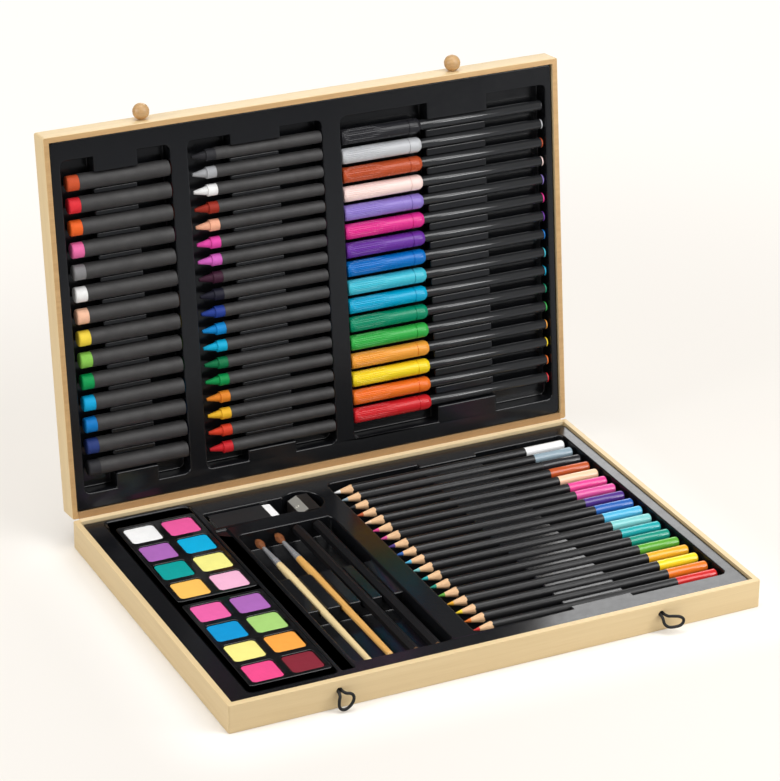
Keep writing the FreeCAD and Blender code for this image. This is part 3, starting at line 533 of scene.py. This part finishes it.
bared = pencil["cone"] * (pencil["lead"] - pencil["point"]) / (pencil["radius"] - pencil["point"])
full, coated = pencil["radius"] - pencil["coat"], pencil["radius"]
rounding = np.linspace(0, quarter, pencil["endSteps"])[1:-1]
end = [(pencil["length"] - pencil["endRound"] * (1 - math.sin(a)),
        coated - pencil["endRound"] * (1 - math.cos(a))) for a in rounding]
around = np.arange(pencil["sides"]) * 2 * np.pi / pencil["sides"]
for number, color in enumerate(pencilTones, 1):
    node = "coloured_pencil_%02d" % number
    low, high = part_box(node)
    dip = pencil["dip"] + draws.uniform(-1, 1) * pencil["dipSpread"]
    profile = [(0, pencil["pointStart"]), (pencil["pointRound"], pencil["point"]), (bared, pencil["lead"]),
               (pencil["cone"] - pencil["coneStep"], full - pencil["coneStep"]),
               (pencil["cone"] + pencil["coneStep"], full), (dip - pencil["dipEdge"][0], full),
               (dip + pencil["dipEdge"][1], coated), (pencil["length"] - pencil["endRound"], coated), *end,
               (pencil["length"], coated - pencil["endRound"])]
    bandMaterial = [0, 0, 1, 2, 2] + [3] * (len(profile) - 6)
    points, quads, triangles, bands = lathe(profile, pencil["sides"])
    # The lacquer ends in waves round the cone, other ones on each pencil.
    scallop = sum(size * np.sin(waves * around + shift * number) for size, waves, shift in pencil["scallops"])
    for ring in pencil["scallopRings"]:
        points[ring * pencil["sides"]:(ring + 1) * pencil["sides"], 0] += scallop
    points = points + np.array([low.x / mm, (low.y + high.y) / 2 / mm, (low.z + high.z) / 2 / mm])
    tint = np.tile(tone(*color), (len(points), 1))
    addPiece("colouredPencil%02d" % number, (points, quads, triangles, bands), node, [node],
             [leadWax, bareCedar, blackLacquer, dipPaint], bandMaterial, tint)
print("coloured pencils")


# Drawing pencils: six-sided, black, with a bare end

pencilEnd = woodMaterial("drawingPencilEnd", tone(196, 150, 108), tone(150, 104, 70), length=400.0,
                         width=1400.0, rough=0.75)
drawingPencil = {"edge": 0.35, "endFacing": 0.9}


def facingEnds(normals):
    # The faces at both ends of a tool that lies along y.
    return (np.abs(normals[:, 1]) > drawingPencil["endFacing"]).astype(np.int32)


for node in ("left_drawing_pencil", "right_drawing_pencil"):
    dress(node, [blackLacquer, pencilEnd], drawingPencil["edge"], choose=facingEnds)


# Brushes: lacquered handle, crimped ferrule and a soft tuft

brushShape = {"handle": [(0, 0.9), (0.35, 1.5), (1.4, 1.95), (40, 2.15), (80, 2.45), (112, 2.65), (122, 2.6),
                         (134, 2.15)], "handleSteps": 70, "soften": 7, "sides": 32,
              "ferrule": 24.5, "ferruleStart": 2.2, "ferruleTip": 1.2, "ferruleWall": 0.22,
              "ferruleSteps": 80, "crimps": (2.6, 5.4, 20.5), "crimpDepth": 0.2, "crimpWidth": 0.45,
              "lipHeight": 0.1, "lipWidth": 1.1}
# The tuft is a core of (distance, radius) pairs with single hairs round it. A hair's swell and
# thickness are (share of its length, share of the size) pairs.
tuft = {"core": [(-2, 0.85), (0, 0.95), (2.5, 1.7), (5, 2.2), (7, 2.3), (9, 1.9), (10.6, 1.1), (11.6, 0.4)],
        "coreSides": 24, "length": 12.5, "belly": 2.8, "hairs": 260, "points": 7, "hair": 0.11, "corners": 3,
        "shortest": 0.86, "stray": 0.05, "sway": 0.12, "root": 0.4,
        "swell": [(0, 0.36), (0.2, 0.7), (0.5, 1.0), (0.75, 0.86), (1, 0.34)],
        "taper": [(0, 1), (0.7, 0.9), (1, 0.15)]}
paleHandle = woodMaterial("paleHandle", tone(244, 222, 170), tone(216, 180, 120), turn=(0, 0, quarter),
                          length=30.0, width=900.0, depth=0.5, rough=0.3, Coat_Weight=0.4)
honeyHandle = woodMaterial("honeyHandle", tone(236, 184, 104), tone(200, 136, 64), turn=(0, 0, quarter),
                           length=30.0, width=900.0, depth=0.5, rough=0.3, Coat_Weight=0.4)
ferruleMetal = speckled("ferruleMetal", tone(222, 224, 228), tone(196, 198, 202), patches=80.0, grains=1200.0,
                        rough=0.28, roughSpread=0.12, relief=0.006, Metallic=0.75)
tuftHair = woodMaterial("tuftHair", tone(176, 108, 58), tone(86, 44, 22), turn=(0, 0, quarter), length=40.0,
                        width=2600.0, depth=0.9, rough=0.55)
for side, handleWood in (("left", paleHandle), ("right", honeyHandle)):
    low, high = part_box(side + "_brush_handle")
    start = np.array([(low.x + high.x) / 2 / mm, low.y / mm, (low.z + high.z) / 2 / mm])
    body = side + "_brush"
    knots = brushShape["handle"]
    profile = np.concatenate([knots[:2], eased(knots[2:], brushShape["handleSteps"], brushShape["soften"])])
    points, *rest = lathe(profile, brushShape["sides"])
    addPiece(side + "BrushHandle", (alongY(points) + start, *rest), body,
             [side + "_brush_handle"], [handleWood])
    neck = knots[-1][0]
    at = np.linspace(0, brushShape["ferrule"], brushShape["ferruleSteps"])
    outer = brushShape["ferruleStart"] + (brushShape["ferruleTip"] - brushShape["ferruleStart"]) * (
        at / brushShape["ferrule"])
    for crimp in brushShape["crimps"]:
        # A narrow groove with a low lip on both sides.
        outer -= brushShape["crimpDepth"] * np.exp(-((at - crimp) / brushShape["crimpWidth"]) ** 2)
        outer += brushShape["lipHeight"] * np.exp(-((at - crimp) / brushShape["lipWidth"]) ** 2)
    outer = np.stack([neck + at, outer], -1)
    inner = outer[::-1] - [0, brushShape["ferruleWall"]]
    points, *rest = lathe(np.concatenate([outer, inner]), brushShape["sides"], hollow=True)
    addPiece(side + "BrushFerrule", (alongY(points) + start, *rest), body,
             [side + "_brush_ferrule"], [ferruleMetal])
    tip = neck + brushShape["ferrule"]
    tuftCore = lathe(np.array(tuft["core"]) + [tip, 0], tuft["coreSides"])
    spread = np.sqrt(draws.uniform(0, 1, tuft["hairs"]))
    turnOf = draws.uniform(0, 2 * np.pi, tuft["hairs"])
    longer = draws.uniform(tuft["shortest"], 1.0, tuft["hairs"])
    share = np.linspace(0, 1, tuft["points"])
    radius = tuft["belly"] * spread[:, None] * np.interp(share, *np.array(tuft["swell"]).T)
    radius += draws.normal(0, tuft["stray"], radius.shape)
    sway = turnOf[:, None] + draws.normal(0, tuft["sway"], (tuft["hairs"], 1)) * share
    path = np.stack([tip - tuft["root"] + share * tuft["length"] * longer[:, None] + tuft["root"] * share,
                     radius * np.cos(sway), radius * np.sin(sway)], -1)
    thick = tuft["hair"] * np.interp(share, *np.array(tuft["taper"]).T)[:, None]
    corner = np.arange(tuft["corners"]) * 2 * np.pi / tuft["corners"]
    across = np.zeros_like(thick * corner)
    offset = np.stack([across, thick * np.cos(corner), thick * np.sin(corner)], -1)
    hairs = [skin(line[:, None] + offset) for line in path]
    points, *rest = merged([tuftCore, *hairs])
    addPiece(side + "BrushBristles", (alongY(points) + start, *rest), body,
             [side + "_brush_bristles"], [tuftHair])
print("brushes")


# Palettes and their pressed colours

palettePlastic = speckled("palettePlastic", tone(15, 15, 17), tone(11, 11, 13), patches=40.0, grains=260.0,
                          rough=0.12, roughSpread=0.08, relief=0.003, Coat_Weight=0.3)
tabletPaint = speckled("tabletPaint", tone(255, 255, 255), tone(232, 232, 232), patches=150.0, grains=2400.0,
                       amount=0.5, rough=0.5, roughSpread=0.2, relief=0.02, tinted=True,
                       Specular_IOR_Level=0.25)
palette = {"edge": 0.6, "rows": 4, "columns": 2}
# A tablet's levels are (distance in from its outline, share of the crown, share of the height).
tablet = {"size": 21.1, "corner": 2.85, "pitch": 26.3, "rim": 3.3, "depth": 4.0, "drop": 0.3, "crown": 0.35,
          "perCorner": 9, "cornerShrink": 0.6, "leastCorner": 0.6,
          "levels": [(0.0, 0.0, 0.0), (0.0, 0.0, 0.88), (0.12, 0.0, 0.96), (0.4, 0.0, 1.0), (0.9, 0.12, 1.0),
                     (3.0, 0.4, 1.0), (6.5, 0.8, 1.0), (9.0, 1.0, 1.0)]}
paintTones = {
    "rear_palette": [(248, 248, 248), (238, 92, 160), (172, 104, 184), (0, 174, 222), (0, 158, 154),
                     (246, 240, 140), (252, 196, 96), (246, 184, 214)],
    "front_palette": [(236, 100, 168), (172, 104, 184), (0, 150, 212), (168, 212, 120), (248, 238, 140),
                      (250, 168, 72), (240, 76, 140), (132, 36, 52)]}


def roundedSquare(half, corner, perCorner):
    # The outline of a square with rounded corners, round from its right side.
    centres = np.array([(1, -1), (1, 1), (-1, 1), (-1, -1)]) * (half - corner)
    turns = np.linspace(0, quarter, perCorner) + np.arange(4)[:, None] * quarter - quarter
    arcs = centres[:, None] + corner * np.stack([np.cos(turns), np.sin(turns)], -1)
    return arcs.reshape(-1, 2)


rings = []
for inset, crown, rise in tablet["levels"]:
    corner = max(tablet["corner"] - inset * tablet["cornerShrink"], tablet["leastCorner"])
    outline = roundedSquare(tablet["size"] / 2 - inset, corner, tablet["perCorner"])
    height = (tablet["depth"] - tablet["drop"] + (crown - 1) * tablet["crown"]) * rise - tablet["depth"]
    rings.append(np.concatenate([outline, np.full((len(outline), 1), height)], 1))
tabletShape = skin(np.array(rings))
for node, tones in paintTones.items():
    dress(node, [palettePlastic], palette["edge"], segments=3, clamp=False)
    low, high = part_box(node)
    corner = np.array([low.x / mm + tablet["rim"] + tablet["size"] / 2,
                       high.y / mm - tablet["rim"] - tablet["size"] / 2, high.z / mm])
    places = [corner + [column * tablet["pitch"], -row * tablet["pitch"], 0]
              for row in range(palette["rows"]) for column in range(palette["columns"])]
    tablets, which = tiled(tabletShape, places)
    tint = np.array([tone(*c) for c in tones])[which]
    name = node.split("_")[0] + "PalettePaints"
    addPiece(name, tablets, node, [node + "_paints"], [tabletPaint], tint=tint)
print("palettes")


# Eraser with its card sleeve, and the wedge sharpener

eraserRubber = speckled("eraserRubber", tone(250, 250, 250), tone(232, 232, 230), grains=900.0, rough=0.75,
                        relief=0.01)
sleeveCard = speckled("sleeveCard", tone(26, 26, 28), tone(20, 20, 22), patches=40.0, grains=1800.0,
                      rough=0.5, relief=0.008)
sharpenerPlastic = speckled("sharpenerPlastic", tone(30, 27, 26), tone(22, 20, 19), grains=900.0, rough=0.35,
                            relief=0.01)
bladeSteel = woodMaterial("bladeSteel", tone(214, 212, 204), tone(176, 174, 166), length=30.0, width=2400.0,
                          rough=0.32, relief=0.006, Metallic=0.6)
smallEdges = {"eraser": 0.15, "eraserSleeve": 0.08, "sharpener": 0.4, "blade": 0.06, "screw": 0.12}
dress("eraser", [eraserRubber], smallEdges["eraser"])
dress("eraser_sleeve", [sleeveCard], smallEdges["eraserSleeve"])
dress("sharpener_body", [sharpenerPlastic], smallEdges["sharpener"], segments=3)
dress("sharpener_blade", [bladeSteel], smallEdges["blade"])
dress("sharpener_screw", [bladeSteel], smallEdges["screw"])
print("eraser and sharpener")


# Lid tools: rows along x, from the free side to the hinge side

rowMiddle = 126.08


def rowPlaces(tool):
    # The start of each tool of a row, in the lying lid.
    steps = (tool["count"] - 1) / 2 - np.arange(tool["count"])
    return [(tool["start"], rowMiddle + step * tool["pitch"], tool["height"]) for step in steps]


def paperSleeve(tool, start, end, lip):
    # A tube of paper round a stick, with its ends bent in. The paper's overlap makes the radius grow
    # once round and drop back at the seam. Only the inner rings stay round.
    rise = sleeve["overlap"] * (np.arange(tool["sides"]) / tool["sides"])
    loop = [(start + sleeve["bend"], tool["core"]), (start, tool["core"] + lip),
            (start + sleeve["bend"], tool["radius"]), (end - sleeve["bend"], tool["radius"]),
            (end, tool["core"] + lip), (end - sleeve["bend"], tool["core"])]
    inner = np.array([True, False, False, False, False, True])
    return lathe(loop, tool["sides"], np.where(inner[:, None], 0.0, rise), hollow=True)


def lidRow(name, shape, tool, tones, node, materials, bandMaterial=None):
    copies, which = tiled(shape, rowPlaces(tool))
    tint = None if tones is None else np.array([tone(*c) for c in tones])[which]
    addPiece(name, (stoodOpen(copies[0]), *copies[1:]), "lid", [node], materials, bandMaterial,
             tint)


sleeve = {"overlap": 0.14, "bend": 0.1}
sleevePaper = speckled("sleevePaper", tone(62, 61, 61), tone(44, 43, 44), patches=120.0, grains=2200.0,
                       amount=0.7, rough=0.5, roughSpread=0.14, relief=0.02)
softWax = speckled("softWax", tone(255, 255, 255), tone(225, 225, 225), patches=260.0, grains=1600.0,
                   amount=0.5, rough=0.45, roughSpread=0.2, relief=0.03, tinted=True,
                   Specular_IOR_Level=0.25)

# A stick's rounding is (distance from its end, how far in from its core radius).
pastel = {"count": 14, "pitch": 14.63, "start": -166.0, "height": 10.5, "length": 68.8, "radius": 5.25,
          "core": 5.05, "stub": 7.6, "paperShort": 0.1, "lip": 0.1, "sides": 48,
          "startRound": [(0, 0.9), (0.15, 0.5), (0.5, 0.12), (1.2, 0)],
          "endRound": [(1.0, 0), (0.4, 0.15), (0.1, 0.45), (0, 0.8)]}
pastelTones = [(208, 84, 44), (228, 44, 56), (244, 104, 36), (240, 112, 172), (134, 134, 136), (246, 246, 246),
               (250, 196, 164), (250, 220, 70), (140, 204, 84), (0, 156, 82), (0, 172, 228), (0, 124, 202),
               (40, 60, 124), (50, 50, 54)]
core, end = pastel["core"], pastel["length"]
stick = lathe([*((at, core - inset) for at, inset in pastel["startRound"]),
               *((end - at, core - inset) for at, inset in pastel["endRound"])], pastel["sides"])
lidRow("pastelSticks", stick, pastel, pastelTones, "pastel_sticks", [softWax])
paper = paperSleeve(pastel, pastel["stub"], end - pastel["paperShort"], pastel["lip"])
lidRow("pastelSleeves", paper, pastel, None, "pastel_sleeves", [sleevePaper])
print("pastels")

crayon = {"count": 18, "pitch": 11.68, "start": -81.1, "height": 11.0, "length": 89.6, "radius": 4.05,
          "core": 3.85, "cone": 9.2, "collar": 6.4, "tip": 1.1, "shoulder": 3.0, "lip": 0.08, "sides": 40}
crayonTones = [(44, 44, 48), (168, 170, 174), (248, 248, 248), (160, 44, 28), (248, 180, 148), (232, 72, 172),
               (214, 100, 196), (62, 26, 48), (28, 28, 44), (34, 62, 150), (0, 140, 216), (0, 178, 222),
               (0, 118, 70), (0, 150, 76), (240, 140, 40), (250, 194, 44), (226, 66, 38), (212, 32, 42)]
core, end, tip, cone = crayon["core"], crayon["length"], crayon["tip"], crayon["cone"]
stick = lathe([(0, tip * 0.6), (0.12, tip * 0.9), (0.5, tip + 0.05), (cone - 0.05, crayon["shoulder"]),
               (cone, core - 0.12), (cone + 0.15, core), (end - 0.25, core), (end, core - 0.2)],
              crayon["sides"])
lidRow("crayonSticks", stick, crayon, crayonTones, "crayon_sticks", [softWax])
paper = paperSleeve(crayon, cone + crayon["collar"], end, crayon["lip"])
lidRow("crayonSleeves", paper, crayon, None, "crayon_sleeves", [sleevePaper])
print("crayons")

marker = {"count": 16, "pitch": 12.8, "start": 22.6, "height": 10.5, "length": 147.8, "radius": 3.5,
          "capRadius": 5.1, "cap": 57.2, "bore": 4.2, "fluteDepth": 0.3, "fluteEvery": 4, "sides": 96,
          "fluteFade": [(1.4, 0), (2.6, 1), (22, 1), (38, 0)], "neck": 3.1, "plug": 1.2, "barrelSides": 40}
markerTones = [(36, 36, 40), (190, 192, 196), (184, 78, 40), (250, 222, 216), (140, 120, 200), (222, 44, 140),
               (104, 48, 158), (0, 112, 196), (64, 190, 212), (0, 168, 210), (0, 142, 104), (52, 176, 74),
               (246, 164, 60), (252, 222, 36), (244, 118, 34), (214, 36, 44)]
capPlastic = speckled("capPlastic", tone(255, 255, 255), tone(240, 240, 240), patches=40.0, grains=200.0,
                      amount=0.3, rough=0.24, roughSpread=0.05, relief=0.0005, tinted=True,
                      Specular_IOR_Level=0.3)
barrelPlastic = speckled("barrelPlastic", tone(42, 43, 45), tone(34, 35, 37), patches=30.0, grains=200.0,
                         rough=0.1, roughSpread=0.06, relief=0.0005)
nibFelt = speckled("nibFelt", tone(255, 255, 255), tone(220, 220, 220), grains=3200.0, rough=0.9, relief=0.03,
                   tinted=True)
# In the profiles r is the cap's radius, b its bore and c its length, where the barrel comes out.
r, b, c = marker["capRadius"], marker["bore"], marker["cap"]
capProfile = [(0, r - 1.5), (0.15, r - 0.9), (0.6, r - 0.3), (1.4, r), (2.6, r), (6, r), (14, r), (22, r),
              (30, r), (38, r), (c - 9.2, r), (c - 9.1, r - 0.35), (c - 8.6, r - 0.35), (c - 8.5, r),
              (c - 2.8, r), (c - 1.6, r - 0.25), (c - 0.7, r - 0.8), (c - 0.2, r - 1.15), (c, r - 1.35),
              (c, b - 0.6), (c - 1.2, b - 0.6), (c - 2.0, b), (3.4, b), (2.0, b - 1.4)]
capAlong, capRadii = np.array(capProfile).T
fade = np.interp(capAlong, *np.array(marker["fluteFade"]).T) * (capRadii >= r)
fluteRipple = -marker["fluteDepth"] * fade[:, None] * (np.arange(marker["sides"]) % marker["fluteEvery"] == 0)
lidRow("markerCaps", lathe(capProfile, marker["sides"], fluteRipple), marker, markerTones,
       "marker_caps", [capPlastic])
# Here r is the barrel's radius, n its neck's and e the length at which the plug starts.
r, n, e = marker["radius"], marker["neck"], marker["length"] - marker["plug"]
barrelProfile = [(c - 18.5, 0.25), (c - 17.6, 0.9), (c - 14.0, 1.2), (c - 13.9, 2.6), (c - 13.4, n),
                 (c - 3.0, n), (c - 2.9, b - 0.05), (c - 2.2, b - 0.05), (c - 1.4, r), (e - 0.3, r),
                 (e, r - 0.2)]
lidRow("markerBarrels", lathe(barrelProfile, marker["barrelSides"]), marker, markerTones,
       "marker_barrels", [barrelPlastic, nibFelt], [1, 1] + [0] * (len(barrelProfile) - 3))
plugProfile = [(e, 2.7), (e, r - 0.15), (e + 0.6, r - 0.15), (e + 1.0, r - 0.5), (e + 1.2, r - 1.0)]
lidRow("markerPlugs", lathe(plugProfile, marker["barrelSides"]), marker, markerTones,
       "marker_plugs", [capPlastic])
print("felt pens")


# Floor, light and background
# Close to the case the floor is only lit, so that it takes the shadow. With the distance from the
# case it glows more and more by itself, to an even cream. Other rays than the camera's see a plainer
# floor without the glow, darker where it is mirrored. Lengths are in metres.

room = {"cream": tone(255, 251, 245), "size": 8.0, "world": 0.25, "footprint": (0.18, 0.126, 0.0),
        "contact": 0.06, "near": 0.15, "far": 0.7, "contactGlow": 0.08, "openGlow": 0.42, "farGlow": 0.53,
        "contactPaint": (0.86, 0.84, 0.81, 1.0), "openPaint": (0.4, 0.382, 0.357, 1.0),
        "farPaint": (0.02, 0.02, 0.02, 1.0), "bouncePaint": (0.8, 0.78, 0.75, 1.0),
        "mirroredPaint": (0.3, 0.31, 0.33, 1.0)}
floorMesh = bpy.data.meshes.new("floor")
half = room["size"] / 2
floorCorners = [(-half, -half, 0), (half, -half, 0), (half, half, 0), (-half, half, 0)]
floorMesh.from_pydata(floorCorners, [], [(0, 1, 2, 3)])
floor = newObject("floor", floorMesh)
floorPaint, tree, shader = newMaterial("floorPaint", Roughness=0.95, Specular_IOR_Level=0.1)
shader.inputs["Emission Color"].default_value = room["cream"]
place = put(tree, "TexCoord")
across = put(tree, "VectorMath", operation="ABSOLUTE")
beyond = put(tree, "VectorMath", operation="SUBTRACT", in_1=room["footprint"])
outside = put(tree, "VectorMath", operation="MAXIMUM", in_1=(0, 0, 0))
distance = put(tree, "VectorMath", operation="LENGTH")
closeBy = put(tree, "MapRange", interpolation_type="SMOOTHSTEP", in_1=0.0, in_2=room["contact"])
farOff = put(tree, "MapRange", interpolation_type="SMOOTHSTEP", in_1=room["near"], in_2=room["far"])
paint = put(tree, "Mix", data_type="RGBA", in_6=room["contactPaint"], in_7=room["openPaint"])
farPaint = put(tree, "Mix", data_type="RGBA", in_7=room["farPaint"])
path = put(tree, "LightPath")
roomPaint = put(tree, "Mix", data_type="RGBA", in_6=room["bouncePaint"], in_7=room["mirroredPaint"])
seenPaint = put(tree, "Mix", data_type="RGBA")
glow = put(tree, "Math", operation="MULTIPLY_ADD", in_1=room["openGlow"], in_2=room["contactGlow"])
farGlow = put(tree, "Math", operation="MULTIPLY_ADD", in_1=room["farGlow"])
seenGlow = put(tree, "Math", operation="MULTIPLY")
join(tree, (place.outputs["Object"], across.inputs[0]), (across.outputs[0], beyond.inputs[0]),
     (beyond.outputs[0], outside.inputs[0]), (outside.outputs[0], distance.inputs[0]),
     (distance.outputs["Value"], closeBy.inputs[0]), (distance.outputs["Value"], farOff.inputs[0]),
     (closeBy.outputs[0], paint.inputs["Factor"]), (paint.outputs[2], farPaint.inputs[6]),
     (farOff.outputs[0], farPaint.inputs["Factor"]), (farPaint.outputs[2], seenPaint.inputs[7]),
     (path.outputs["Is Glossy Ray"], roomPaint.inputs["Factor"]), (roomPaint.outputs[2], seenPaint.inputs[6]),
     (path.outputs["Is Camera Ray"], seenPaint.inputs["Factor"]),
     (seenPaint.outputs[2], shader.inputs["Base Color"]), (closeBy.outputs[0], glow.inputs[0]),
     (farOff.outputs[0], farGlow.inputs[0]), (glow.outputs[0], farGlow.inputs[2]),
     (farGlow.outputs[0], seenGlow.inputs[0]), (path.outputs["Is Camera Ray"], seenGlow.inputs[1]),
     (seenGlow.outputs[0], shader.inputs["Emission Strength"]))
floorMesh.materials.append(floorPaint)

world = bpy.data.worlds.new("room")
bpy.context.scene.world = world
world.use_nodes = True
tree = world.node_tree
sky = tree.nodes["Background"]
path = put(tree, "LightPath")
seen = put(tree, "Math", operation="MAXIMUM")
level = put(tree, "MapRange", in_3=room["world"], in_4=1.0)
join(tree, (path.outputs["Is Camera Ray"], seen.inputs[0]),
     (path.outputs["Is Transmission Ray"], seen.inputs[1]), (seen.outputs[0], level.inputs[0]),
     (level.outputs[0], sky.inputs["Strength"]))
sky.inputs["Color"].default_value = room["cream"]


def softbox(name, place, aim, size, power):
    # A flat light at a place, in metres and watts, that looks at its aim. The camera doesn't see it.
    light = bpy.data.lights.new(name, "AREA")
    light.shape = "RECTANGLE"
    light.size, light.size_y = size
    light.energy = power
    lamp = newObject(name, light)
    away = np.array(place, float) - np.array(aim, float)
    away /= np.linalg.norm(away)
    side = np.cross([0, 0, 1.0], away)
    side /= np.linalg.norm(side)
    turn = Matrix(np.array([side, np.cross(away, side), away]).T.tolist()).to_4x4()
    lamp.matrix_world = Matrix.Translation(place) @ turn
    lamp.visible_camera = False


softbox("keyBox", (0.56, -0.74, 1.05), (0, 0, 0.1), (0.8, 0.8), 9.5)
softbox("leftBox", (-1.5, 0.05, 0.8), (0, 0, 0.1), (0.8, 0.8), 12.0)
softbox("topBox", (-0.1, 0.1, 2.1), (0, 0, 0), (1.2, 1.0), 17.0)
softbox("backBox", (1.15, 2.2, 1.2), (0, 0, 0.05), (1.6, 0.7), 15.0)
softbox("rightBox", (0.8, -0.75, 0.4), (0.1, -0.1, 0.03), (0.3, 0.3), 2.8)
bpy.context.scene.view_settings.view_transform = "Standard"
print("room and lights")
